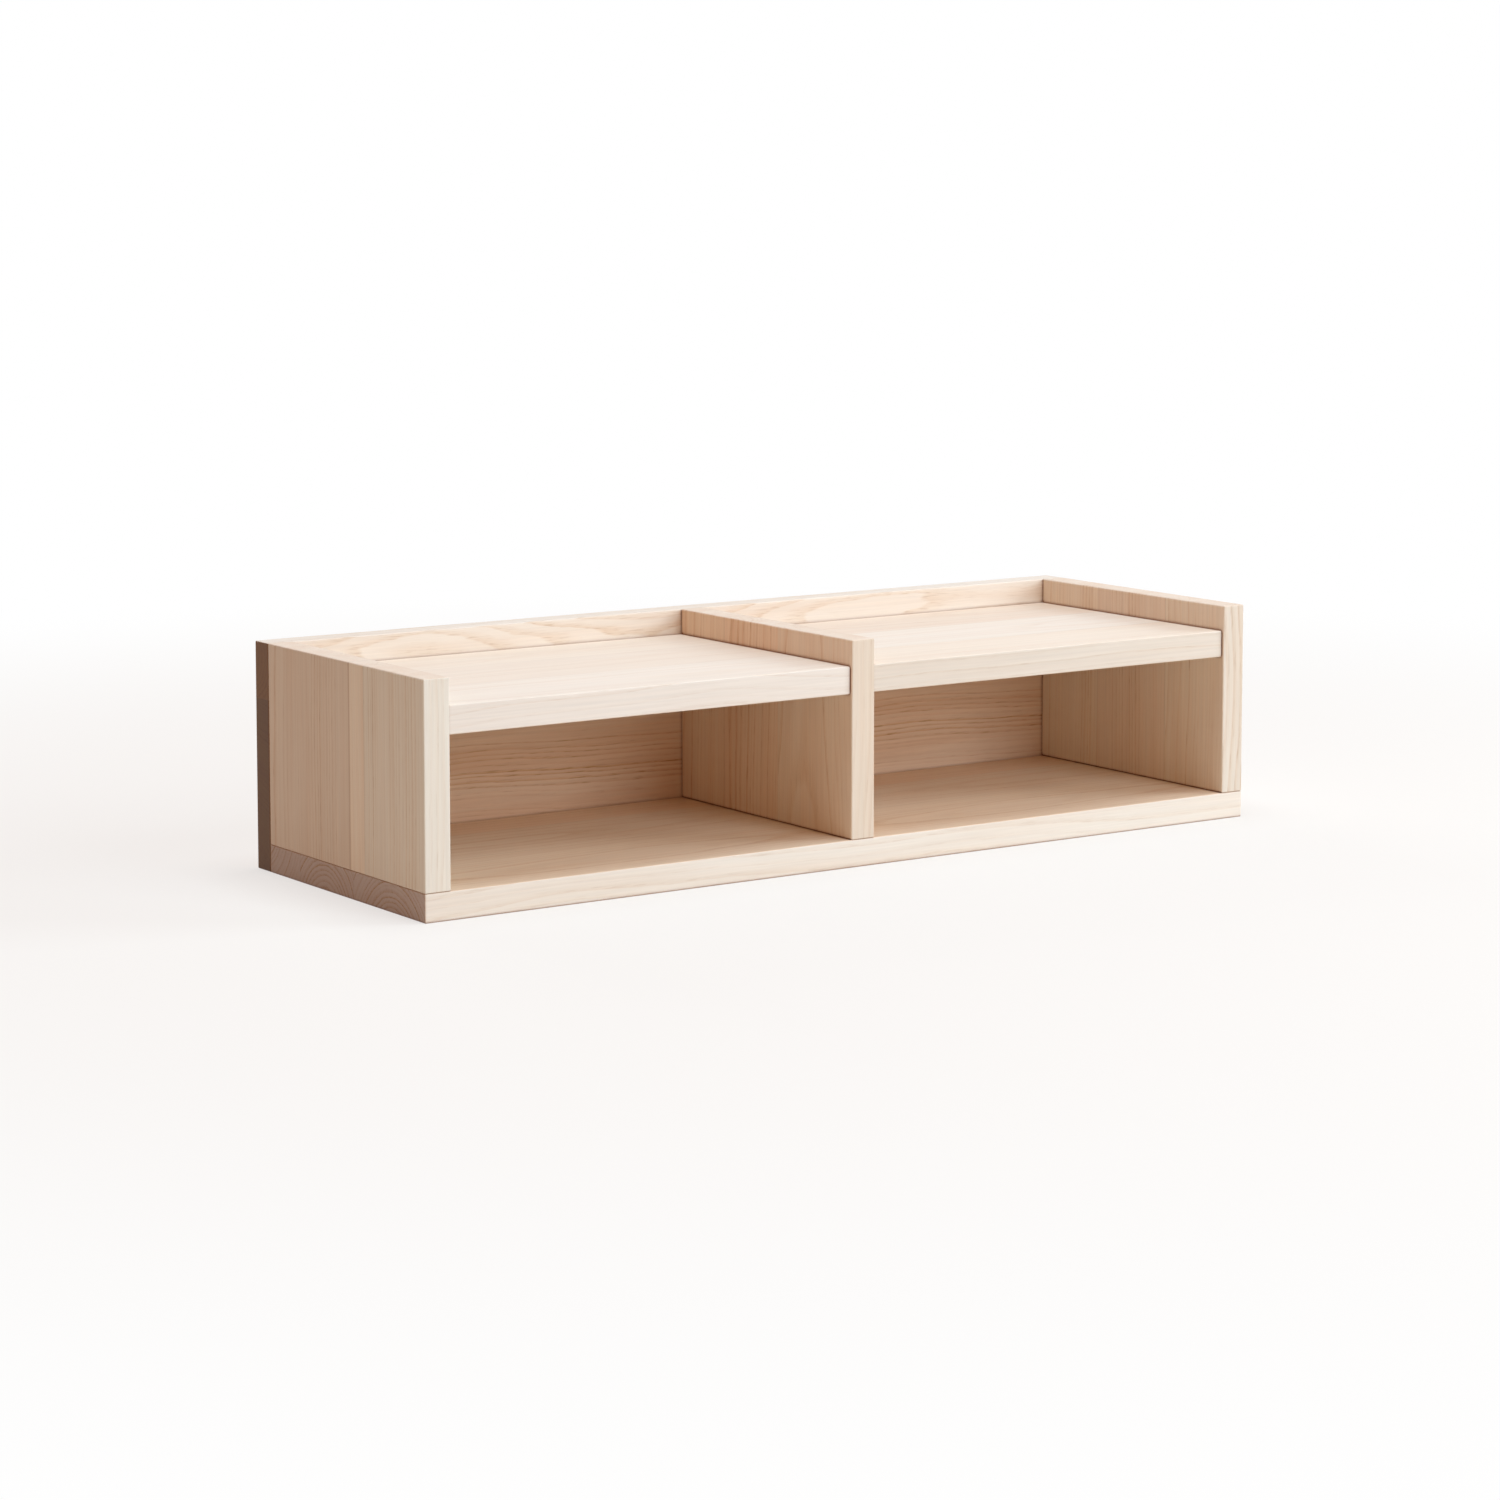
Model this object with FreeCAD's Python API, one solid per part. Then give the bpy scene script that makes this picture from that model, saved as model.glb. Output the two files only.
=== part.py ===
"""Display shelf with two bays, in solid ash boards that are joined with glued beech dowels.

Each bay is an open compartment under an upper shelf. The uprights and the back stand a little above the upper
shelves, so each of them is a shallow tray. The shelf hangs on two screws, from keyhole slots in its back board.

Millimetres, +Z up. The origin is in the middle of the footprint, on the underside of the bottom board.
+X runs to the right along the front, and +Y runs from the open front to the back.
"""
import FreeCAD
import Part

import os

# Overall sizes
shelf_width = 720.0
shelf_depth = 240.0
shelf_height = 164.0

# Boards
bottom_thickness = 20.0
back_thickness = 20.0
side_thickness = 20.0
divider_thickness = 20.0
upper_shelf_thickness = 20.0
rim_height = 19.0            # the uprights and the back stand this far above the upper shelves
upper_shelf_setback = 2.0    # the upper shelves start this far behind the fronts of the uprights
arris_radius = 1.0           # every edge is eased before the boards are glued up

# Dowels and their bores
dowel_diameter = 8.0
dowel_chamfer = 1.0
edge_bore_depth = 20.0       # into the end or the edge of a board
face_bore_depth_share = 0.6  # into the face of a board, as a share of its thickness
bore_clearance = 0.05        # radial room for glue
bore_end_clearance = 1.0     # room for glue past each end of a dowel

# How the dowels lie along each joint: their count, and from the end of the joint to the first of them
upright_base_dowels = 3
upright_base_inset = 36.0
upright_back_dowels = 2
upright_back_inset = 44.0
bottom_back_dowels = 3       # in each bay
bottom_back_inset = 45.0
shelf_end_dowels = 3
shelf_end_inset = 40.0
shelf_back_dowels = 2
shelf_back_inset = 85.0

# Keyhole slots in the rear face of the back board
keyhole_end_inset = 60.0         # from each end of the back board
keyhole_entry_diameter = 10.0    # takes the head of the wall screw
keyhole_neck_width = 5.0         # takes its shank
keyhole_travel = 12.0            # from the entry up to the seat
keyhole_top_inset = 34.0         # from the top of the back board down to the seat
keyhole_lip = 4.0                # wood left in front of the screw's head
keyhole_depth = 10.0
cut_overrun = 1.0                # how far each keyhole cutter stands proud of the face

# Places that follow from the sizes
left_x = -shelf_width / 2
right_x = shelf_width / 2
front_y = -shelf_depth / 2
rear_y = shelf_depth / 2
back_face_y = rear_y - back_thickness
upper_shelf_front_y = front_y + upper_shelf_setback
bottom_top_z = bottom_thickness
upper_shelf_top_z = shelf_height - rim_height
upper_shelf_base_z = upper_shelf_top_z - upper_shelf_thickness
left_bay_x = (left_x + side_thickness, -divider_thickness / 2)
right_bay_x = (divider_thickness / 2, right_x - side_thickness)

X_AXIS = FreeCAD.Vector(1, 0, 0)
Y_AXIS = FreeCAD.Vector(0, 1, 0)
Z_AXIS = FreeCAD.Vector(0, 0, 1)


def middle(span):
    """The middle of a (low, high) pair."""
    return (span[0] + span[1]) / 2


def spread(span, inset, count):
    """Evenly spaced places along a span, the first and the last of them inset from its ends."""
    if count == 1:
        return [middle(span)]
    low = span[0] + inset
    step = (span[1] - inset - low) / (count - 1)
    return [low + step * i for i in range(count)]


def eased_board(x_span, y_span, z_span):
    """A board between the given limits, with every edge eased."""
    size = [high - low for low, high in (x_span, y_span, z_span)]
    corner = FreeCAD.Vector(x_span[0], y_span[0], z_span[0])
    board = Part.makeBox(*size, corner)
    return board.makeFillet(arris_radius, board.Edges)


def dowel(seat, axis, depth_behind, depth_ahead):
    """A dowel with chamfered ends, lying along the axis through its seat, short of its bore at both ends."""
    radius = dowel_diameter / 2
    low = bore_end_clearance - depth_behind
    high = depth_ahead - bore_end_clearance
    profile = Part.makePolygon([
        FreeCAD.Vector(0, 0, low),
        FreeCAD.Vector(radius - dowel_chamfer, 0, low),
        FreeCAD.Vector(radius, 0, low + dowel_chamfer),
        FreeCAD.Vector(radius, 0, high - dowel_chamfer),
        FreeCAD.Vector(radius - dowel_chamfer, 0, high),
        FreeCAD.Vector(0, 0, high),
        FreeCAD.Vector(0, 0, low),
    ])
    turned = Part.Face(profile).revolve(FreeCAD.Vector(), Z_AXIS, 360)
    turned.Placement = FreeCAD.Placement(seat, FreeCAD.Rotation(Z_AXIS, axis))
    return turned


def bore(seat, axis, depth_behind, depth_ahead):
    """The drilled hole for such a dowel, through both boards of the joint."""
    radius = dowel_diameter / 2 + bore_clearance
    return Part.makeCylinder(radius, depth_behind + depth_ahead, seat - axis * depth_behind, axis)


def keyhole(x):
    """Cutter for one keyhole slot: a round entry, a neck for the shank and a wider channel behind its lip."""
    seat_z = shelf_height - keyhole_top_inset
    entry_z = seat_z - keyhole_travel
    mouth_y = rear_y + cut_overrun
    lip_y = rear_y - keyhole_lip
    floor_y = rear_y - keyhole_depth

    def channel(width, near_y, far_y):
        """A straight run from the entry up to the seat, with a round end there."""
        length = near_y - far_y
        run = Part.makeBox(width, length, keyhole_travel, FreeCAD.Vector(x - width / 2, far_y, entry_z))
        end = Part.makeCylinder(width / 2, length, FreeCAD.Vector(x, far_y, seat_z), Y_AXIS)
        return run.fuse(end)

    entry = Part.makeCylinder(keyhole_entry_diameter / 2, mouth_y - floor_y,
                              FreeCAD.Vector(x, floor_y, entry_z), Y_AXIS)
    neck = channel(keyhole_neck_width, mouth_y, floor_y)
    undercut = channel(keyhole_entry_diameter, lip_y, floor_y)
    return entry.fuse([neck, undercut]).removeSplitter()


# The boards, before they are drilled
upright_y = (front_y, back_face_y)
upright_z = (bottom_top_z, shelf_height)
upper_shelf_y = (upper_shelf_front_y, back_face_y)
upper_shelf_z = (upper_shelf_base_z, upper_shelf_top_z)
upright_x = {
    "left_side": (left_x, left_x + side_thickness),
    "centre_divider": (-divider_thickness / 2, divider_thickness / 2),
    "right_side": (right_x - side_thickness, right_x),
}
boards = {
    "bottom_board": eased_board((left_x, right_x), upright_y, (0, bottom_top_z)),
    "back_board": eased_board((left_x, right_x), (back_face_y, rear_y), (0, shelf_height)),
    "left_upper_shelf": eased_board(left_bay_x, upper_shelf_y, upper_shelf_z),
    "right_upper_shelf": eased_board(right_bay_x, upper_shelf_y, upper_shelf_z),
}
for name, x_span in upright_x.items():
    boards[name] = eased_board(x_span, upright_y, upright_z)

# The keyhole slots, at equal distances from the ends of the back board
for x in (left_x + keyhole_end_inset, right_x - keyhole_end_inset):
    boards["back_board"] = boards["back_board"].cut(keyhole(x))

# The dowel joints: each has a name, its two or three boards, the axis of its dowels, the depths of the bores
# behind and ahead of the seats, and the seats themselves
bottom_face_bore = bottom_thickness * face_bore_depth_share
back_face_bore = back_thickness * face_bore_depth_share
side_face_bore = side_thickness * face_bore_depth_share
divider_bore = divider_thickness / 2 + edge_bore_depth
shelf_mid_z = middle(upper_shelf_z)
joints = []

for name, x_span in upright_x.items():
    label = name.replace("centre_", "")
    base_seats = [
        FreeCAD.Vector(middle(x_span), y, bottom_top_z)
        for y in spread(upright_y, upright_base_inset, upright_base_dowels)
    ]
    back_seats = [
        FreeCAD.Vector(middle(x_span), back_face_y, z)
        for z in spread(upright_z, upright_back_inset, upright_back_dowels)
    ]
    joints.append((f"dowels_{label}_to_bottom", ["bottom_board", name], Z_AXIS,
                   bottom_face_bore, edge_bore_depth, base_seats))
    joints.append((f"dowels_{label}_to_back", [name, "back_board"], Y_AXIS,
                   edge_bore_depth, back_face_bore, back_seats))

for hand, bay_x in (("left", left_bay_x), ("right", right_bay_x)):
    bottom_seats = [
        FreeCAD.Vector(x, back_face_y, bottom_thickness / 2)
        for x in spread(bay_x, bottom_back_inset, bottom_back_dowels)
    ]
    joints.append((f"dowels_{hand}_bay_bottom_to_back", ["bottom_board", "back_board"], Y_AXIS,
                   edge_bore_depth, back_face_bore, bottom_seats))
    back_seats = [
        FreeCAD.Vector(x, back_face_y, shelf_mid_z)
        for x in spread(bay_x, shelf_back_inset, shelf_back_dowels)
    ]
    joints.append((f"dowels_{hand}_shelf_to_back", [f"{hand}_upper_shelf", "back_board"], Y_AXIS,
                   edge_bore_depth, back_face_bore, back_seats))

for hand, seat_x, axis in (("left", left_bay_x[0], X_AXIS), ("right", right_bay_x[1], -X_AXIS)):
    end_seats = [
        FreeCAD.Vector(seat_x, y, shelf_mid_z)
        for y in spread(upper_shelf_y, shelf_end_inset, shelf_end_dowels)
    ]
    joints.append((f"dowels_{hand}_shelf_to_side", [f"{hand}_side", f"{hand}_upper_shelf"], axis,
                   side_face_bore, edge_bore_depth, end_seats))

divider_seats = [
    FreeCAD.Vector(0, y, shelf_mid_z)
    for y in spread(upper_shelf_y, shelf_end_inset, shelf_end_dowels)
]
joints.append(("dowels_shelves_through_divider", ["left_upper_shelf", "centre_divider", "right_upper_shelf"],
               X_AXIS, divider_bore, divider_bore, divider_seats))

# Drill the boards and turn the dowels
nodes = {}
for name, joined, axis, depth_behind, depth_ahead, seats in joints:
    bores = [bore(seat, axis, depth_behind, depth_ahead) for seat in seats]
    for board in joined:
        boards[board] = boards[board].cut(bores)
    nodes[name] = Part.makeCompound([dowel(seat, axis, depth_behind, depth_ahead) for seat in seats])
nodes.update(boards)

# One file for each node
os.makedirs("parts", exist_ok=True)
for name, shape in nodes.items():
    if not shape.isValid():
        raise ValueError(f"{name} is not a valid shape")
    shape.exportStep(f"parts/{name}.step")
    print(f"{name}: {len(shape.Solids)} solids, {shape.Volume:.0f} cubic mm")
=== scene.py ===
import math
from collections import namedtuple

import bmesh
import bpy
from bpy.props import FloatProperty, FloatVectorProperty, IntProperty, PointerProperty
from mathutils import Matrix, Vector


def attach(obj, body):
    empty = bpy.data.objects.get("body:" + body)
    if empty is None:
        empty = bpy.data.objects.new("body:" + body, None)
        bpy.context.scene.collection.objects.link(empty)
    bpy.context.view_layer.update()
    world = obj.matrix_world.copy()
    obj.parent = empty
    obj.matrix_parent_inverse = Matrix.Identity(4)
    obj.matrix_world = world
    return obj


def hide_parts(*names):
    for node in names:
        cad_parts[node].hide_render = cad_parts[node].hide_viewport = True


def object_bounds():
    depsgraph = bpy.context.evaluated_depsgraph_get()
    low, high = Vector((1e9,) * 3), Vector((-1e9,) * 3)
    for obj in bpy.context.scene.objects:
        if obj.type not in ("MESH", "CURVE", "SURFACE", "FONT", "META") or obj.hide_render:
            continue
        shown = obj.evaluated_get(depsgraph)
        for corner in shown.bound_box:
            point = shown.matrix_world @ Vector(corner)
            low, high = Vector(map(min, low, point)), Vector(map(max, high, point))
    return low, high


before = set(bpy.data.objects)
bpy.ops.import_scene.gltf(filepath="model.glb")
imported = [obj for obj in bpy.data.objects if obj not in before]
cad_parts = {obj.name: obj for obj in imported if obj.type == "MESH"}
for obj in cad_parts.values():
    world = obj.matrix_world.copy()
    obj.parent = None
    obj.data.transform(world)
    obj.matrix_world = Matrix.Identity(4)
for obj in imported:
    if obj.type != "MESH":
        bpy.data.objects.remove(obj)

bl_info = {
    "name": "Ash display shelf",
    "version": (1, 0, 0),
    "blender": (4, 5, 0),
    "location": "3D View > Sidebar > Shelf",
    "description": "Finishes a two-bay display shelf in solid ash and sets it on a pale studio floor",
    "category": "Object",
}

CAD_BOX = [list(corner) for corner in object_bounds()]
BODY = "root"
MM = 0.001
WHITE = (1, 1, 1, 1)


def linear(code):
    """The linear colour of an sRGB hex value such as "#EFE4D2"."""
    shares = [int(code[i:i + 2], 16) / 255 for i in (1, 3, 5)]
    return tuple(s / 12.92 if s <= 0.04045 else ((s + 0.055) / 1.055) ** 2.4 for s in shares)


def add(tree, kind, inputs=None, **settings):
    """Adds a shader node with its settings, and fills its inputs with values or links to other outputs."""
    node = tree.nodes.new(f"ShaderNode{kind}")
    for name, value in settings.items():
        setattr(node, name, value)
    for key, value in (inputs or {}).items():
        if isinstance(value, bpy.types.NodeSocket):
            tree.links.new(value, node.inputs[key])
        else:
            node.inputs[key].default_value = value
    return node


def empty_tree(owner):
    """Gives a material or a world an empty node tree."""
    owner.use_nodes = True
    owner.node_tree.nodes.clear()
    return owner.node_tree


# Settings that a user would change

class AshSettings(bpy.types.PropertyGroup):
    """Finish of the ash boards."""
    latewood: FloatVectorProperty(
        name="Latewood", description="Dense pale wood between the growth lines",
        subtype="COLOR", size=3, min=0, max=1, default=linear("#EFE2D1"))
    earlywood: FloatVectorProperty(
        name="Earlywood", description="Porous tan wood of each growth line",
        subtype="COLOR", size=3, min=0, max=1, default=linear("#DAB78F"))
    pore: FloatVectorProperty(
        name="Pores", description="Open pores, the short dark dashes along the grain",
        subtype="COLOR", size=3, min=0, max=1, default=linear("#B48C62"))
    band: FloatVectorProperty(
        name="Bands", description="Tint of the broad soft bands along the grain",
        subtype="COLOR", size=3, min=0, max=1, default=linear("#F8EEE6"))
    # Colour of the painted shade that darkens the joints and inside corners of the boards
    joint: FloatVectorProperty(
        name="Joints", description="Shade in the narrow grooves where two boards meet",
        subtype="COLOR", size=3, min=0, max=1, default=linear("#96603C"))
    ring_spacing: FloatProperty(
        name="Ring spacing", description="Growth of the stem in one year",
        unit="LENGTH", precision=5, default=3.6 * MM, min=0.5 * MM, max=20 * MM)
    pore_length: FloatProperty(
        name="Pore length", description="How far an open pore shows along the grain",
        unit="LENGTH", precision=4, default=16 * MM, min=1 * MM, max=100 * MM)
    pore_width: FloatProperty(
        name="Pore width", description="Drawn three times as wide as a real pore, so that it shows",
        unit="LENGTH", precision=5, default=0.9 * MM, min=0.1 * MM, max=5 * MM)
    roughness: FloatProperty(
        name="Roughness", description="Of the matt lacquer over dense wood",
        subtype="FACTOR", default=0.5, min=0, max=1)


class DowelSettings(bpy.types.PropertyGroup):
    """Shape and finish of the beech dowels."""
    flutes: IntProperty(
        name="Flutes", description="Glue grooves round a dowel", default=16, min=6, max=40)
    flute_depth: FloatProperty(
        name="Flute depth", description="Depth of each glue groove",
        unit="LENGTH", precision=5, default=0.35 * MM, min=0, max=1 * MM)
    chamfer: FloatProperty(
        name="End chamfer", description="Taper at both ends of a dowel",
        unit="LENGTH", precision=5, default=1.0 * MM, min=0, max=3 * MM)
    wood: FloatVectorProperty(
        name="Beech", description="Plain ground colour of the beech",
        subtype="COLOR", size=3, min=0, max=1, default=linear("#D9B48C"))
    fleck: FloatVectorProperty(
        name="Flecks", description="Short dark rays in the beech",
        subtype="COLOR", size=3, min=0, max=1, default=linear("#A9764B"))


class StageSettings(bpy.types.PropertyGroup):
    """Floor, lamps and camera."""
    floor_colour: FloatVectorProperty(
        name="Floor", description="Plain pale floor",
        subtype="COLOR", size=3, min=0, max=1, default=linear("#EFE7DA"))
    floor_glow: FloatProperty(
        name="Floor glow", description="Share of plain white that the camera sees near the shelf",
        subtype="FACTOR", default=0.62, min=0, max=1)
    floor_size: FloatProperty(
        name="Floor size", description="Side of the square floor", unit="LENGTH", default=60.0, min=2)
    ambient_colour: FloatVectorProperty(
        name="Ambient", description="Warm light from the room all round",
        subtype="COLOR", size=3, min=0, max=1, default=linear("#FFC49B"))
    ambient_strength: FloatProperty(
        name="Ambient strength", description="Level of the light from the room", default=0.37, min=0, max=5)
    lamp_colour: FloatVectorProperty(
        name="Lamps", description="Cool daylight of all the lamps",
        subtype="COLOR", size=3, min=0, max=1, default=linear("#D6ECFF"))
    lamp_size: FloatProperty(
        name="Lamp size", description="Side of each large soft lamp", unit="LENGTH", default=1.6, min=0.05)
    front_power: FloatProperty(
        name="Front power", description="Power of the low lamp in front", unit="POWER", default=60.0, min=0)
    front_place: FloatVectorProperty(
        name="Front place", description="Where the low lamp in front stands",
        subtype="TRANSLATION", unit="LENGTH", size=3, default=(0.985, -3.675, 1.316))
    fill_power: FloatProperty(
        name="Fill power", description="Power of the high lamp in front", unit="POWER", default=20.0, min=0)
    fill_place: FloatVectorProperty(
        name="Fill place", description="Where the high lamp in front hangs",
        subtype="TRANSLATION", unit="LENGTH", size=3, default=(0.547, -3.104, 2.545))
    right_power: FloatProperty(
        name="Right power", description="Power of the lamp on the right", unit="POWER", default=96.0, min=0)
    right_place: FloatVectorProperty(
        name="Right place", description="Where the lamp on the right stands",
        subtype="TRANSLATION", unit="LENGTH", size=3, default=(3.255, -1.879, 1.448))
    back_power: FloatProperty(
        name="Back power", description="Power of the lamp behind", unit="POWER", default=36.0, min=0)
    back_place: FloatVectorProperty(
        name="Back place", description="Where the lamp behind stands",
        subtype="TRANSLATION", unit="LENGTH", size=3, default=(0.0, 3.76, 1.45))
    top_power: FloatProperty(
        name="Top power", description="Power of the lamp overhead", unit="POWER", default=56.0, min=0)
    top_place: FloatVectorProperty(
        name="Top place", description="Where the lamp overhead hangs",
        subtype="TRANSLATION", unit="LENGTH", size=3, default=(0.0, -0.1, 3.08))
    camera_place: FloatVectorProperty(
        name="Camera place", description="Where the camera stands",
        subtype="TRANSLATION", unit="LENGTH", size=3, default=(-1.6297, -2.3468, 0.5265))
    camera_turn: FloatProperty(
        name="Camera turn", description="Heading of the camera, from straight at the front",
        subtype="ANGLE", default=math.radians(-34.52))
    camera_tilt: FloatProperty(
        name="Camera tilt", description="How far the camera looks down",
        subtype="ANGLE", default=math.radians(5.81))
    camera_lens: FloatProperty(
        name="Lens", description="Focal length", unit="CAMERA", default=93.7, min=1)
    camera_shift: FloatProperty(
        name="Lens shift", description="Vertical shift, which keeps the uprights nearly parallel",
        default=-0.15, min=-1, max=1)


# Ash patterns, with sizes along, across and through the grain

STACK_STEP = 1370 * MM                           # in the stack of timber, from one pattern to the next
ACROSS_GRAIN = (0, 1, 1)                         # leaves out what lies along the grain
NOISE_MIDDLE = (0.5, 0.5, 0.5)                   # taken off, so that stems bend both ways
BEND_SIZE = (300 * MM, 1000 * MM, 1000 * MM)     # length of the bends in a stem
BEND_REACH = 60 * MM                             # from side to side, in a board with a bend of 1
STAVE_SHIFT = (0, 37, 53)                        # times the heart of a stave, gives it bends of its own
WANDER_SIZE = (70 * MM, 12 * MM, 12 * MM)        # unevenness of the rings
WANDER_REACH = 6 * MM                            # in a board with a bend of 1
LEAN_REACH = 1.6                                 # years by which lean and fat ones shift the rings
FIBRE_SIZE = (90 * MM, 1.6 * MM, 1.6 * MM)       # bundles of fibres, drawn much coarser so that they show
BAND_SIZE = (240 * MM, 16 * MM, 16 * MM)         # soft bands of a pinker wood
GLUE_LINE_REACH = 0.35 * MM                      # to each side, drawn a few times too wide so that it shows
PAINTED_SHADE_REACH = 3 * MM                             # of the shade at the groove of a joint
PORE_ROUGHNESS = 0.2                             # more than over dense wood
PORE_DEPTH = 0.1 * MM
LINE_RELIEF = 0.3                                # how far earlywood sinks, as a share of a pore's depth

# How porous the wood is from the start of a year to its end
YEAR_RAMP = ((0.0, 0.10), (0.10, 1.0), (0.30, 0.62), (0.60, 0.12), (1.0, 0.06))

# Ash boards
#
# Lengths in the table are millimetres. Grain names the axes along the grain, across the staves and through
# the board. Pattern is the board's place in the stack of timber, and the fraction in that of the back board
# slides its arches to where the real ones are. Bend is how much the stem wavers, rings is how strongly the
# growth lines show on the cut ends, and groove is how dark the painted shade in its joints and corners is.
# Edge tints the long edges, and ends tints the cut ends, the one with the lower coordinate first.
#
# A stave starts at a place across the board. It has a tint, a strength of its growth lines, the heart of its
# stem, across and through the board, and a tone by which its cut ends differ.

Board = namedtuple("Board", "grain pattern bend rings groove edge ends staves")
Stave = namedtuple("Stave", "start tint figure heart end_tone", defaults=(1.0,))

BOARDS = {
    "bottom_board": Board(
        grain="XYZ", pattern=3, bend=0.4, rings=1.0, groove=0.7,
        edge="#F8FAFC", ends=("#C4BBBD", "#D0BFB0"), staves=(
            Stave(-120, "#FFF1E2", 0.36, (-75, -20)),
            Stave(-22, "#FFF1E3", 0.36, (22, -16)),
            Stave(56, "#FFE9D5", 0.40, (130, 45)),
        )),
    "back_board": Board(
        grain="XZY", pattern=10.927, bend=0.7, rings=0.6, groove=0.4,
        # The dark tint of the low end is partly darker end grain and partly painted shade, as from a wall
        # behind it
        edge="#FAFDFF", ends=("#6A4919", "#C6B3A4"), staves=(
            Stave(0, "#FFEBDA", 0.90, (-46, 146)),
            Stave(123, "#FFFFFF", 0.42, (150, 124), end_tone=1.35),
        )),
    "left_side": Board(
        grain="ZYX", pattern=5, bend=0.3, rings=0.25, groove=1.0,
        edge="#F3F7F8", ends=("#F8F2EC", "#F8F2EC"), staves=(
            Stave(-120, "#F0F3F1", 0.50, (-190, -300)),
            Stave(-38, "#F6F3EC", 0.55, (-70, -290)),
            Stave(-18, "#DCCDC0", 0.45, (-70, -290)),      # a thin darker streak
            Stave(-16.4, "#E7E1DA", 0.55, (120, -300)),
        )),
    "centre_divider": Board(
        grain="ZYX", pattern=23, bend=0.4, rings=0.25, groove=1.0,
        edge="#EEE9E3", ends=("#F8F2EC", "#F8F2EC"), staves=(
            Stave(-120, "#FFF4EA", 0.52, (-60, 50)),
            Stave(-28, "#FFEDDE", 0.70, (40, -38)),
            Stave(42, "#FFF0E2", 0.70, (130, 40)),
        )),
    "right_side": Board(
        grain="ZYX", pattern=31, bend=0.4, rings=0.25, groove=1.0,
        edge="#EDECEA", ends=("#F8F2EC", "#F8F2EC"), staves=(
            Stave(-120, "#FBF5EE", 0.50, (-30, 300)),
            Stave(-52, "#F8EDE4", 0.50, (-110, 290)),
            Stave(30, "#FDF6EE", 0.50, (140, 300)),
        )),
    "left_upper_shelf": Board(
        grain="XYZ", pattern=41, bend=0.4, rings=1.0, groove=0.6,
        edge="#F5F6F9", ends=("#D8CFC8", "#D8CFC8"), staves=(
            Stave(-118, "#FFFFFF", 0.22, (-84, 82)),
            Stave(-40, "#FDFAF7", 0.18, (20, 200)),
            Stave(36, "#FFFDFA", 0.20, (70, 70)),
        )),
    "right_upper_shelf": Board(
        grain="XYZ", pattern=53, bend=0.4, rings=1.0, groove=0.6,
        edge="#ECEBEA", ends=("#D8CFC8", "#D8CFC8"), staves=(
            Stave(-118, "#FFFCF8", 0.28, (-150, 190)),
            Stave(-50, "#FFFFFF", 0.28, (-10, 75)),
            Stave(26, "#FBF5F0", 0.28, (80, 205)),
        )),
}


def stave_values(tree, board, across):
    """What changes from stave to stave: tint, figure, heart and tone of the ends, and where they are glued."""
    first, *others = board.staves
    tint = (*linear(first.tint), 1)
    figure = first.figure
    heart = (0, *(place * MM for place in first.heart))
    end_tone = first.end_tone
    glue_line = 0
    for stave in others:
        start = stave.start * MM
        past = add(tree, "Math", {0: across, 1: start}, operation="GREATER_THAN").outputs[0]
        tint = add(tree, "Mix", {"Factor": past, "A": tint, "B": (*linear(stave.tint), 1)},
                   data_type="RGBA").outputs["Result"]
        figure = add(tree, "Mix", {"Factor": past, "A": figure, "B": stave.figure}).outputs["Result"]
        next_heart = (0, *(place * MM for place in stave.heart))
        heart = add(tree, "Mix", {"Factor": past, "A": heart, "B": next_heart},
                    data_type="VECTOR").outputs["Result"]
        end_tone = add(tree, "Mix", {"Factor": past, "A": end_tone, "B": stave.end_tone}).outputs["Result"]
        seam = add(tree, "Math", {0: across, 1: start, 2: GLUE_LINE_REACH}, operation="COMPARE").outputs[0]
        glue_line = add(tree, "Math", {0: seam, 1: glue_line}, operation="MAXIMUM").outputs[0]
    return tint, figure, heart, end_tone, glue_line


def growth_years(tree, board, look, place, heart):
    """The years of growth from the heart of the stem out to each place in a board."""
    # The heart wavers as the stem bends and tapers, and another stave bends in another way
    bend_place = add(tree, "VectorMath", {0: place, 1: BEND_SIZE}, operation="DIVIDE").outputs[0]
    bend_place = add(tree, "VectorMath", {0: heart, 1: STAVE_SHIFT, 2: bend_place},
                     operation="MULTIPLY_ADD").outputs[0]
    bend = add(tree, "TexNoise", {"Vector": bend_place, "Scale": 1.0, "Detail": 1.0}).outputs["Color"]
    bend = add(tree, "VectorMath", {0: bend, 1: NOISE_MIDDLE}, operation="SUBTRACT").outputs[0]
    reach = BEND_REACH * board.bend
    heart = add(tree, "VectorMath", {0: bend, 1: (0, reach, reach), 2: heart},
                operation="MULTIPLY_ADD").outputs[0]
    from_heart = add(tree, "VectorMath", {0: place, 1: heart}, operation="SUBTRACT").outputs[0]
    from_heart = add(tree, "VectorMath", {0: from_heart, 1: ACROSS_GRAIN}, operation="MULTIPLY").outputs[0]
    radius = add(tree, "VectorMath", {0: from_heart}, operation="LENGTH").outputs["Value"]

    # Rings wander a little along the grain, and lie closer together in lean years than in fat ones
    wander_place = add(tree, "VectorMath", {0: place, 1: WANDER_SIZE}, operation="DIVIDE").outputs[0]
    wander = add(tree, "TexNoise", {"Vector": wander_place, "Scale": 1.0, "Detail": 3.0, "Roughness": 0.55})
    radius = add(tree, "Math", {0: wander.outputs["Fac"], 1: WANDER_REACH * board.bend, 2: radius},
                 operation="MULTIPLY_ADD").outputs[0]
    years = add(tree, "Math", {0: radius, 1: look.ring_spacing}, operation="DIVIDE").outputs[0]
    lean = add(tree, "TexNoise", {"W": years, "Scale": 0.31, "Detail": 1.0}, noise_dimensions="1D")
    return add(tree, "Math", {0: lean.outputs["Fac"], 1: LEAN_REACH, 2: years},
               operation="MULTIPLY_ADD").outputs[0]


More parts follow.
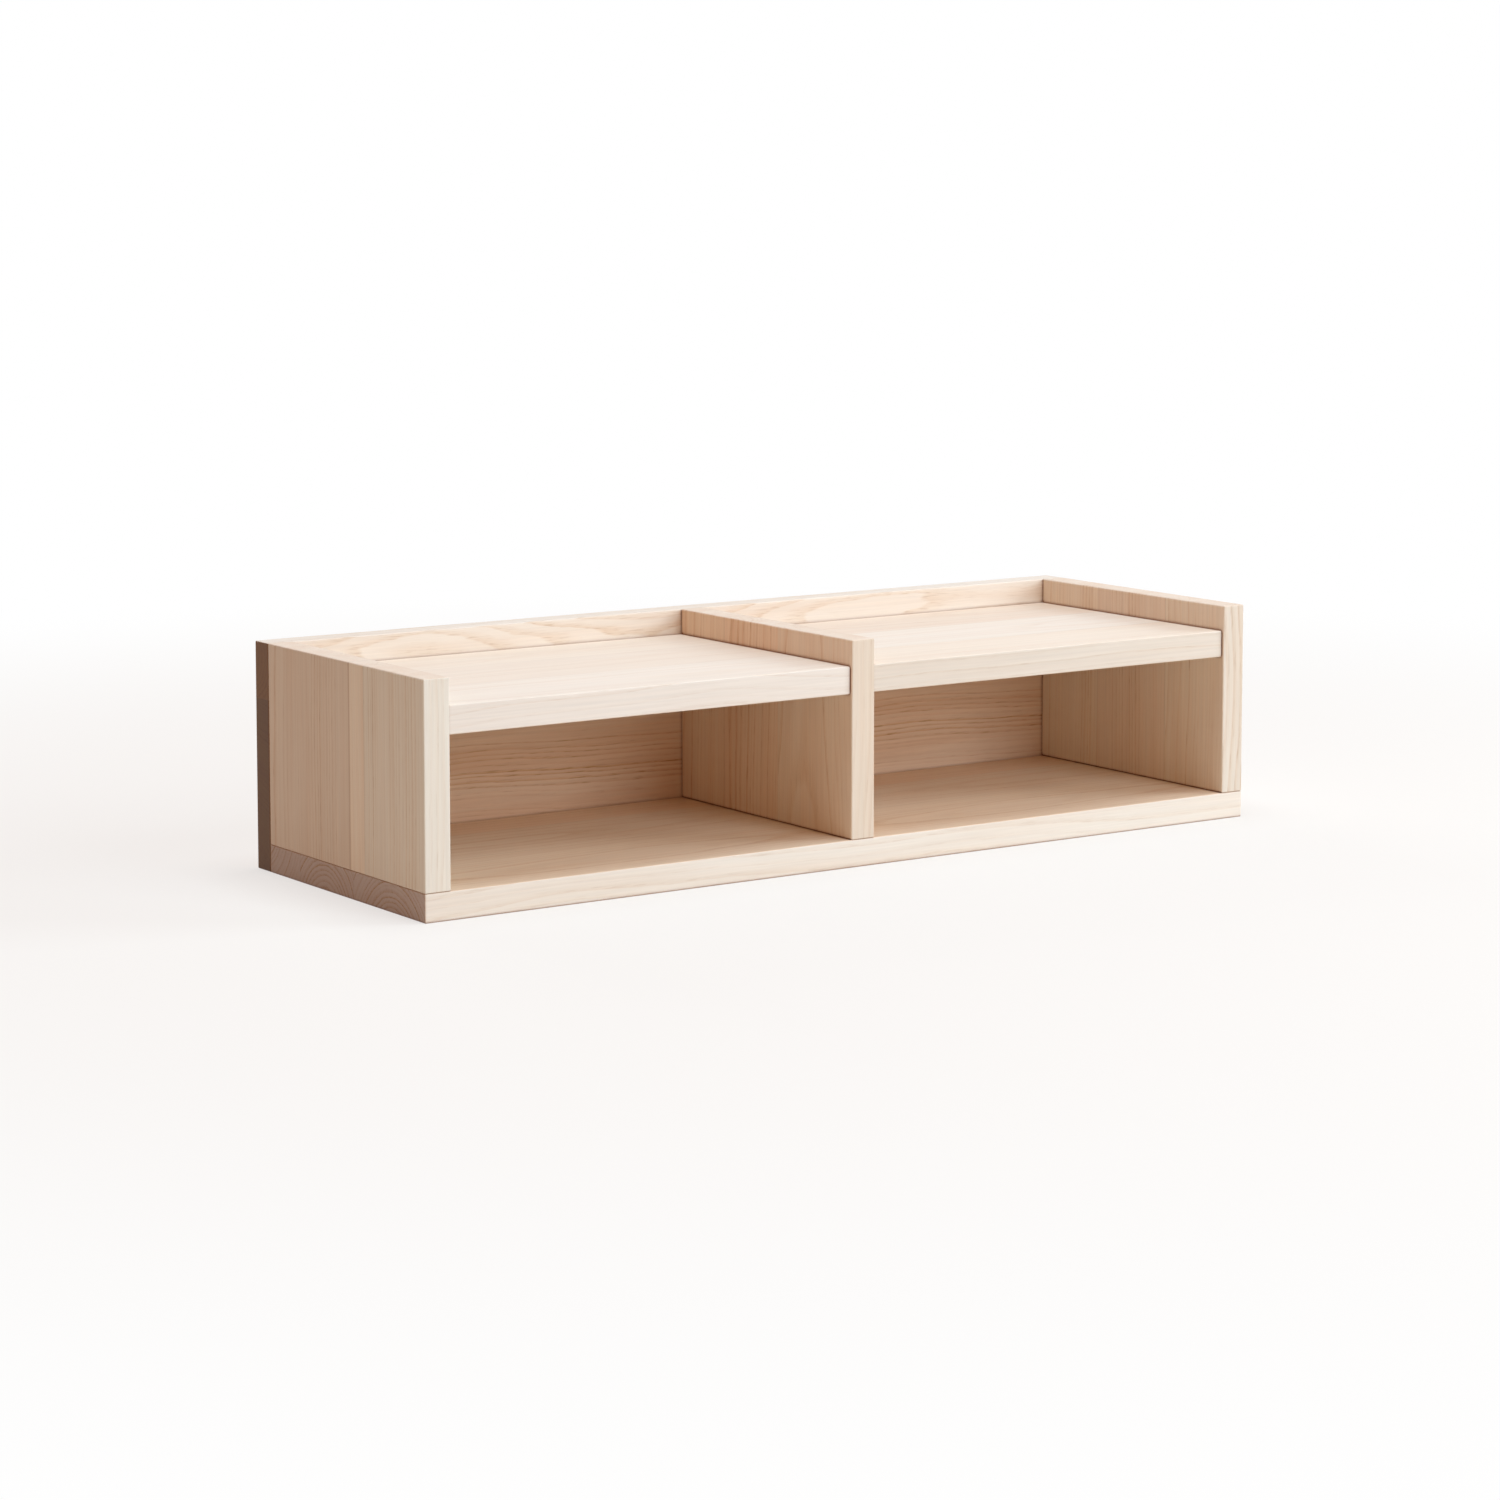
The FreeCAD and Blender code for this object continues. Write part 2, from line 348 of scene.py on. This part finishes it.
def earlywood_share(tree, years):
    """How porous the wood is: each year starts with earlywood and fades into latewood, in its own strength."""
    season = add(tree, "Math", {0: years}, operation="FRACT").outputs[0]
    early = add(tree, "ValToRGB", {"Fac": season})
    stops = early.color_ramp.elements
    stops.remove(stops[1])
    for i, (position, level) in enumerate(YEAR_RAMP):
        stop = stops.new(position) if i else stops[0]
        stop.color = (level, level, level, 1)
    year = add(tree, "Math", {0: years}, operation="FLOOR").outputs[0]
    vigour = add(tree, "TexWhiteNoise", {"W": year}, noise_dimensions="1D").outputs["Value"]
    vigour = add(tree, "MapRange", {"Value": vigour, "To Min": 0.15, "To Max": 1.0}).outputs[0]

    # Good and bad spells of several years
    spell = add(tree, "TexNoise", {"W": years, "Scale": 0.14, "Detail": 0.0}, noise_dimensions="1D")
    spell = add(tree, "MapRange", {"Value": spell.outputs["Fac"], "From Min": 0.3, "From Max": 0.7,
                                   "To Min": 0.45, "To Max": 1.4}).outputs[0]
    vigour = add(tree, "Math", {0: vigour, 1: spell}, operation="MULTIPLY").outputs[0]
    return add(tree, "Math", {0: early.outputs["Color"], 1: vigour}, operation="MULTIPLY").outputs[0]


def facing_mask(tree, normal):
    """1 on faces that look along an axis, either way, and 0 on those that look aside, blended between."""
    either_way = add(tree, "Math", {0: normal}, operation="ABSOLUTE").outputs[0]
    return add(tree, "MapRange", {"Value": either_way, "From Min": 0.5, "From Max": 0.95},
               interpolation_type="SMOOTHSTEP").outputs[0]


def lacquered_ash(name, board, look):
    """Edge-glued ash, planed, sanded and lacquered matt.

    The eye gets pale cream wood with tan growth lines, which run straight where the rings stand on edge and
    in arches where they lie flat, short dark pores along them, a step in tone from stave to stave, and rings
    on the cut ends. The rings are worked out in three dimensions for all the faces of a board, so they meet
    round its edges.
    """
    material = bpy.data.materials.new(name)
    tree = empty_tree(material)
    coordinates = add(tree, "TexCoord")
    axes = add(tree, "SeparateXYZ", {0: coordinates.outputs["Object"]})
    along, across, through = (axes.outputs[axis] for axis in board.grain)

    # Each board is cut from its own place in one endless stack of timber
    stack = add(tree, "Math", {0: along, 1: board.pattern * STACK_STEP}, operation="ADD").outputs[0]
    place = add(tree, "CombineXYZ", {0: stack, 1: across, 2: through}).outputs[0]
    tint, figure, heart, end_tone, glue_line = stave_values(tree, board, across)
    early = earlywood_share(tree, growth_years(tree, board, look, place, heart))

    # Cut ends and long edges are told by the way they face
    normals = add(tree, "SeparateXYZ", {0: coordinates.outputs["Normal"]})
    normal_along, normal_across = (normals.outputs[axis] for axis in board.grain[:2])
    cut_end = facing_mask(tree, normal_along)
    long_edge = facing_mask(tree, normal_across)
    at_high_end = add(tree, "Math", {0: normal_along, 1: 0.0}, operation="GREATER_THAN").outputs[0]
    low_end, high_end = ((*linear(code), 1) for code in board.ends)
    end_tint = add(tree, "Mix", {"Factor": at_high_end, "A": low_end, "B": high_end},
                   data_type="RGBA").outputs["Result"]
    end_tint = add(tree, "VectorMath", {0: end_tint, "Scale": end_tone}, operation="SCALE").outputs[0]

    # Growth lines have the strength of their stave, and that of the board on its cut ends
    strength = add(tree, "Mix", {"Factor": cut_end, "A": figure, "B": board.rings}).outputs["Result"]
    line = add(tree, "Math", {0: early, 1: strength}, operation="MULTIPLY").outputs[0]

    # Pores: long thin cells, open where the wood is porous
    pore_size = (look.pore_length, look.pore_width, look.pore_width)
    pore_place = add(tree, "VectorMath", {0: place, 1: pore_size}, operation="DIVIDE").outputs[0]
    pores = add(tree, "TexNoise", {"Vector": pore_place, "Scale": 1.0, "Detail": 2.0, "Roughness": 0.6})
    pores = add(tree, "MapRange", {"Value": pores.outputs["Fac"], "From Min": 0.52, "From Max": 0.66},
                interpolation_type="SMOOTHSTEP").outputs[0]
    pores = add(tree, "Math", {0: pores, 1: line}, operation="MULTIPLY").outputs[0]

    # Fibres: faint streaks of tone, finer than the growth lines
    fibre_place = add(tree, "VectorMath", {0: place, 1: FIBRE_SIZE}, operation="DIVIDE").outputs[0]
    fibres = add(tree, "TexNoise", {"Vector": fibre_place, "Scale": 1.0, "Detail": 3.0, "Roughness": 0.6})
    fibres = add(tree, "MapRange", {"Value": fibres.outputs["Fac"], "From Min": 0.3, "From Max": 0.7,
                                    "To Min": 0.95, "To Max": 1.03}).outputs[0]

    # Bands: broad and soft, stronger where the growth lines are
    band_place = add(tree, "VectorMath", {0: place, 1: BAND_SIZE}, operation="DIVIDE").outputs[0]
    bands = add(tree, "TexNoise", {"Vector": band_place, "Scale": 1.0, "Detail": 2.0}).outputs["Fac"]
    bands = add(tree, "MapRange", {"Value": bands, "From Min": 0.42, "From Max": 0.68}).outputs[0]
    bands = add(tree, "Math", {0: bands, 1: figure}, operation="MULTIPLY").outputs[0]

    # Colours
    wood = add(tree, "Mix", {"Factor": line, "A": (*look.latewood, 1), "B": (*look.earlywood, 1)},
               data_type="RGBA").outputs["Result"]
    wood = add(tree, "Mix", {"Factor": pores, "A": wood, "B": (*look.pore, 1)},
               data_type="RGBA").outputs["Result"]
    tint = add(tree, "Mix", {"Factor": long_edge, "A": tint, "B": (*linear(board.edge), 1)},
               data_type="RGBA").outputs["Result"]
    tint = add(tree, "Mix", {"Factor": cut_end, "A": tint, "B": end_tint},
               data_type="RGBA").outputs["Result"]
    wood = add(tree, "Mix", {"Factor": 1.0, "A": wood, "B": tint},
               data_type="RGBA", blend_type="MULTIPLY").outputs["Result"]
    wood = add(tree, "Mix", {"Factor": bands, "A": wood, "B": (*look.band, 1)},
               data_type="RGBA", blend_type="MULTIPLY").outputs["Result"]
    glue_tone = add(tree, "MapRange", {"Value": glue_line, "To Min": 1.0, "To Max": 0.88}).outputs[0]
    tone = add(tree, "Math", {0: fibres, 1: glue_tone}, operation="MULTIPLY").outputs[0]
    wood = add(tree, "VectorMath", {0: wood, "Scale": tone}, operation="SCALE").outputs[0]

    # Joints: painted shade, darkest in the narrow groove where the eased edges of two boards meet and in
    # inside corners
    joint = add(tree, "AmbientOcclusion", {"Distance": PAINTED_SHADE_REACH}, samples=8).outputs["AO"]
    unshaded_share = add(tree, "MapRange", {"Value": joint, "From Min": 0.35, "From Max": 0.95,
                                       "To Min": 1 - board.groove},
                    interpolation_type="SMOOTHSTEP").outputs[0]
    shade = add(tree, "Mix", {"Factor": unshaded_share, "A": (*look.joint, 1), "B": WHITE},
                data_type="RGBA").outputs["Result"]
    wood = add(tree, "Mix", {"Factor": 1.0, "A": wood, "B": shade},
               data_type="RGBA", blend_type="MULTIPLY").outputs["Result"]

    # Lacquer: matt, so with less gloss than its IOR gives, and a little rougher over the pores it sinks into
    rough = add(tree, "Math", {0: pores, 1: PORE_ROUGHNESS, 2: look.roughness},
                operation="MULTIPLY_ADD").outputs[0]
    relief = add(tree, "Math", {0: line, 1: LINE_RELIEF, 2: pores}, operation="MULTIPLY_ADD").outputs[0]
    bump = add(tree, "Bump", {"Height": relief, "Strength": 0.25, "Distance": PORE_DEPTH}, invert=True)
    shader = add(tree, "BsdfPrincipled", {
        "Base Color": wood, "Roughness": rough, "Normal": bump.outputs["Normal"],
        "IOR": 1.5, "Specular IOR Level": 0.3,
    })
    add(tree, "OutputMaterial", {"Surface": shader.outputs[0]})
    return material


def dress_board(node, look):
    """Gives one board its own cut of ash."""
    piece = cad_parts[node]
    piece.data.materials.clear()
    piece.data.materials.append(lacquered_ash(f"lacquered_ash_{node}", BOARDS[node], look))


# Beech dowels

FLECK_SIZE = 1.2 * MM
WELD_DISTANCE = 0.01 * MM
RIDGE_SHARE = 0.55         # of the way from one flute to the next
GROOVE_SHARE = 0.25        # from the ridge to the bottom of the groove


def raw_beech(look):
    """Raw beech, turned and fluted: plain pinkish tan with short dark ray flecks."""
    material = bpy.data.materials.new("raw_beech")
    tree = empty_tree(material)
    place = add(tree, "TexCoord").outputs["Object"]
    flecks = add(tree, "TexNoise", {"Vector": place, "Scale": 1 / FLECK_SIZE, "Detail": 2.0})
    flecks = add(tree, "MapRange", {"Value": flecks.outputs["Fac"], "From Min": 0.55, "From Max": 0.75},
                 interpolation_type="SMOOTHSTEP").outputs[0]
    wood = add(tree, "Mix", {"Factor": flecks, "A": (*look.wood, 1), "B": (*look.fleck, 1)},
               data_type="RGBA").outputs["Result"]
    rough = add(tree, "MapRange", {"Value": flecks, "To Min": 0.62, "To Max": 0.75}).outputs[0]
    shader = add(tree, "BsdfPrincipled", {"Base Color": wood, "Roughness": rough, "IOR": 1.5})
    add(tree, "OutputMaterial", {"Surface": shader.outputs[0]})
    return material


def solids_of(node):
    """The corners (low, high) of each separate solid in a CAD node."""
    mesh = bmesh.new()
    mesh.from_mesh(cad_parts[node].data)
    bmesh.ops.remove_doubles(mesh, verts=mesh.verts, dist=WELD_DISTANCE)
    left = set(mesh.verts)
    boxes = []
    while left:
        newest = {left.pop()}
        reached = set(newest)
        while newest:
            newest = {edge.other_vert(vert) for vert in newest for edge in vert.link_edges} - reached
            reached |= newest
        left -= reached
        places = [vert.co for vert in reached]
        boxes.append([Vector(pick(place[i] for place in places) for i in range(3)) for pick in (min, max)])
    mesh.free()
    return sorted(boxes, key=lambda box: tuple(box[0]))


def fluted_dowel(mesh, low, high, look):
    """Adds one dowel between two corners: flutes all round, and both ends chamfered."""
    size = high - low
    axis = max(range(3), key=lambda i: size[i])
    length = size[axis]
    radius = size[(axis + 1) % 3] / 2
    shape = []
    for i in range(look.flutes):
        for share, depth in ((0, 0), (RIDGE_SHARE, 0), (RIDGE_SHARE + GROOVE_SHARE, look.flute_depth)):
            angle = 2 * math.pi * (i + share) / look.flutes
            shape.append((math.cos(angle), math.sin(angle), depth))
    stations = ((0, look.chamfer), (look.chamfer, 0), (length - look.chamfer, 0), (length, look.chamfer))
    heading = Vector([i == axis for i in range(3)])
    turn = Vector((0, 0, 1)).rotation_difference(heading).to_matrix()
    middle = (low + high) / 2
    rings = []
    for height, taper in stations:
        ring = []
        for x, y, depth in shape:
            reach = radius - max(depth, taper)
            point = Vector((x * reach, y * reach, height - length / 2))
            ring.append(mesh.verts.new(middle + turn @ point))
        rings.append(ring)
    for lower, upper in zip(rings, rings[1:]):
        for i in range(len(lower)):
            mesh.faces.new((lower[i - 1], lower[i], upper[i], upper[i - 1]))
    mesh.faces.new(rings[0][::-1])
    mesh.faces.new(rings[-1])


def make_dowels(node, look, material):
    """Replaces one group of plain dowels by fluted ones in the same bores."""
    mesh = bmesh.new()
    for low, high in solids_of(node):
        fluted_dowel(mesh, low, high, look)
    data = bpy.data.meshes.new(f"fluted_{node}")
    mesh.to_mesh(data)
    mesh.free()
    piece = bpy.data.objects.new(f"fluted_{node}", data)
    bpy.context.scene.collection.objects.link(piece)
    data.materials.append(material)
    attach(piece, BODY)
    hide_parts(node)


# Stage

def seen_directly(tree):
    """1 for what the camera sees, straight or by gloss or through glass, and 0 for what only gives light."""
    path = add(tree, "LightPath")
    seen = add(tree, "Math", {0: path.outputs["Is Camera Ray"], 1: path.outputs["Is Glossy Ray"]},
               operation="ADD").outputs[0]
    return add(tree, "Math", {0: seen, 1: path.outputs["Is Transmission Ray"]},
               operation="ADD", use_clamp=True).outputs[0]


def studio_floor(look):
    """Matt painted floor: pale and even, and mostly plain white for the camera, with a soft shadow left."""
    material = bpy.data.materials.new("matt_painted_floor")
    tree = empty_tree(material)

    # All white from 1.6 m away, well outside the shadow
    place = add(tree, "TexCoord").outputs["Object"]
    distance = add(tree, "VectorMath", {0: place}, operation="LENGTH").outputs["Value"]
    glow = add(tree, "MapRange", {"Value": distance, "From Min": 0.5, "From Max": 1.6,
                                  "To Min": look.floor_glow, "To Max": 1.0},
               interpolation_type="SMOOTHSTEP").outputs[0]
    share = add(tree, "Math", {0: seen_directly(tree), 1: glow}, operation="MULTIPLY").outputs[0]
    paint = add(tree, "BsdfDiffuse", {"Color": (*look.floor_colour, 1)})
    white = add(tree, "Emission", {"Color": WHITE, "Strength": 1.0})
    mixed = add(tree, "MixShader", {0: share, 1: paint.outputs[0], 2: white.outputs[0]})
    add(tree, "OutputMaterial", {"Surface": mixed.outputs[0]})
    return material


def room_light(look):
    """A warm even room for the light, and plain white where the camera looks past the floor."""
    world = bpy.data.worlds.new("pale_room")
    tree = empty_tree(world)
    room = add(tree, "Background", {"Color": (*look.ambient_colour, 1), "Strength": look.ambient_strength})
    white = add(tree, "Background", {"Color": WHITE, "Strength": 1.0})
    mixed = add(tree, "MixShader", {0: seen_directly(tree), 1: room.outputs[0], 2: white.outputs[0]})
    add(tree, "OutputWorld", {"Surface": mixed.outputs[0]})
    return world


def soft_lamp(scene, name, place, target, size, power, colour):
    """A square soft lamp that faces a point."""
    data = bpy.data.lights.new(name, "AREA")
    data.size = size
    data.energy = power
    data.color = colour
    lamp = bpy.data.objects.new(name, data)
    lamp.location = place
    lamp.rotation_euler = (target - Vector(place)).to_track_quat("-Z", "Y").to_euler()
    lamp.visible_camera = False
    lamp.visible_glossy = False
    scene.collection.objects.link(lamp)


# Operators

class SHELF_OT_bottom_board(bpy.types.Operator):
    """Finish the bottom board in ash with its grain along the width"""
    bl_idname = "shelf.bottom_board"
    bl_label = "Bottom board"

    def execute(self, context):
        dress_board("bottom_board", context.scene.shelf_ash)
        return {"FINISHED"}


class SHELF_OT_back_board(bpy.types.Operator):
    """Finish the back board in ash with its grain along the width"""
    bl_idname = "shelf.back_board"
    bl_label = "Back board"

    def execute(self, context):
        dress_board("back_board", context.scene.shelf_ash)
        return {"FINISHED"}


class SHELF_OT_uprights(bpy.types.Operator):
    """Finish the two sides and the divider in ash with upright grain"""
    bl_idname = "shelf.uprights"
    bl_label = "Sides and divider"

    def execute(self, context):
        for node in ("left_side", "centre_divider", "right_side"):
            dress_board(node, context.scene.shelf_ash)
        return {"FINISHED"}


class SHELF_OT_upper_shelves(bpy.types.Operator):
    """Finish both upper shelves in ash with their grain along the width"""
    bl_idname = "shelf.upper_shelves"
    bl_label = "Upper shelves"

    def execute(self, context):
        for node in ("left_upper_shelf", "right_upper_shelf"):
            dress_board(node, context.scene.shelf_ash)
        return {"FINISHED"}


class SHELF_OT_dowels(bpy.types.Operator):
    """Put fluted beech dowels into the bores of every joint"""
    bl_idname = "shelf.dowels"
    bl_label = "Dowels"

    def execute(self, context):
        groups = sorted(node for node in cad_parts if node.startswith("dowels_"))
        if not groups:
            raise RuntimeError("The frame has no dowels")
        look = context.scene.shelf_dowels
        material = raw_beech(look)
        for node in groups:
            make_dowels(node, look, material)
        return {"FINISHED"}


class SHELF_OT_stage(bpy.types.Operator):
    """Make the floor, the lamps, the room light and the camera"""
    bl_idname = "shelf.stage"
    bl_label = "Stage"

    def execute(self, context):
        scene = context.scene
        look = scene.shelf_stage
        scene.view_settings.view_transform = "Standard"
        low, high = (Vector(corner) for corner in CAD_BOX)
        middle = (low + high) / 2

        half = look.floor_size / 2
        data = bpy.data.meshes.new("floor")
        corners = [(-half, -half, 0), (half, -half, 0), (half, half, 0), (-half, half, 0)]
        data.from_pydata(corners, [], [(0, 1, 2, 3)])
        data.materials.append(studio_floor(look))
        floor = bpy.data.objects.new("floor", data)
        floor.location.z = low.z
        scene.collection.objects.link(floor)

        scene.world = room_light(look)
        for name in ("front", "fill", "right", "back", "top"):
            place, power = getattr(look, f"{name}_place"), getattr(look, f"{name}_power")
            soft_lamp(scene, f"{name}_lamp", place, middle, look.lamp_size, power, look.lamp_colour)

        data = bpy.data.cameras.new("camera")
        data.lens = look.camera_lens
        data.shift_y = look.camera_shift
        camera = bpy.data.objects.new("camera", data)
        camera.location = look.camera_place
        camera.rotation_euler = (math.pi / 2 - look.camera_tilt, 0, look.camera_turn)
        scene.collection.objects.link(camera)
        scene.camera = camera
        return {"FINISHED"}


class SHELF_PT_panel(bpy.types.Panel):
    """The shelf's pieces, and the settings of their finishes"""
    bl_idname = "SHELF_PT_panel"
    bl_label = "Ash display shelf"
    bl_space_type = "VIEW_3D"
    bl_region_type = "UI"
    bl_category = "Shelf"

    def draw(self, context):
        layout = self.layout
        for operator in OPERATORS:
            layout.operator(operator.bl_idname)
        for group in (context.scene.shelf_ash, context.scene.shelf_dowels, context.scene.shelf_stage):
            box = layout.box()
            for name in group.__annotations__:
                box.prop(group, name)


SETTINGS = (AshSettings, DowelSettings, StageSettings)
OPERATORS = (SHELF_OT_bottom_board, SHELF_OT_back_board, SHELF_OT_uprights, SHELF_OT_upper_shelves,
             SHELF_OT_dowels, SHELF_OT_stage)
CLASSES = (*SETTINGS, *OPERATORS, SHELF_PT_panel)


def register():
    for cls in CLASSES:
        bpy.utils.register_class(cls)
    bpy.types.Scene.shelf_ash = PointerProperty(type=AshSettings)
    bpy.types.Scene.shelf_dowels = PointerProperty(type=DowelSettings)
    bpy.types.Scene.shelf_stage = PointerProperty(type=StageSettings)


def unregister():
    del bpy.types.Scene.shelf_ash
    del bpy.types.Scene.shelf_dowels
    del bpy.types.Scene.shelf_stage
    for cls in reversed(CLASSES):
        bpy.utils.unregister_class(cls)


def main():
    register()
    bpy.ops.shelf.bottom_board()
    bpy.ops.shelf.back_board()
    bpy.ops.shelf.uprights()
    bpy.ops.shelf.upper_shelves()
    bpy.ops.shelf.dowels()
    bpy.ops.shelf.stage()


if __name__ == "__main__":
    main()
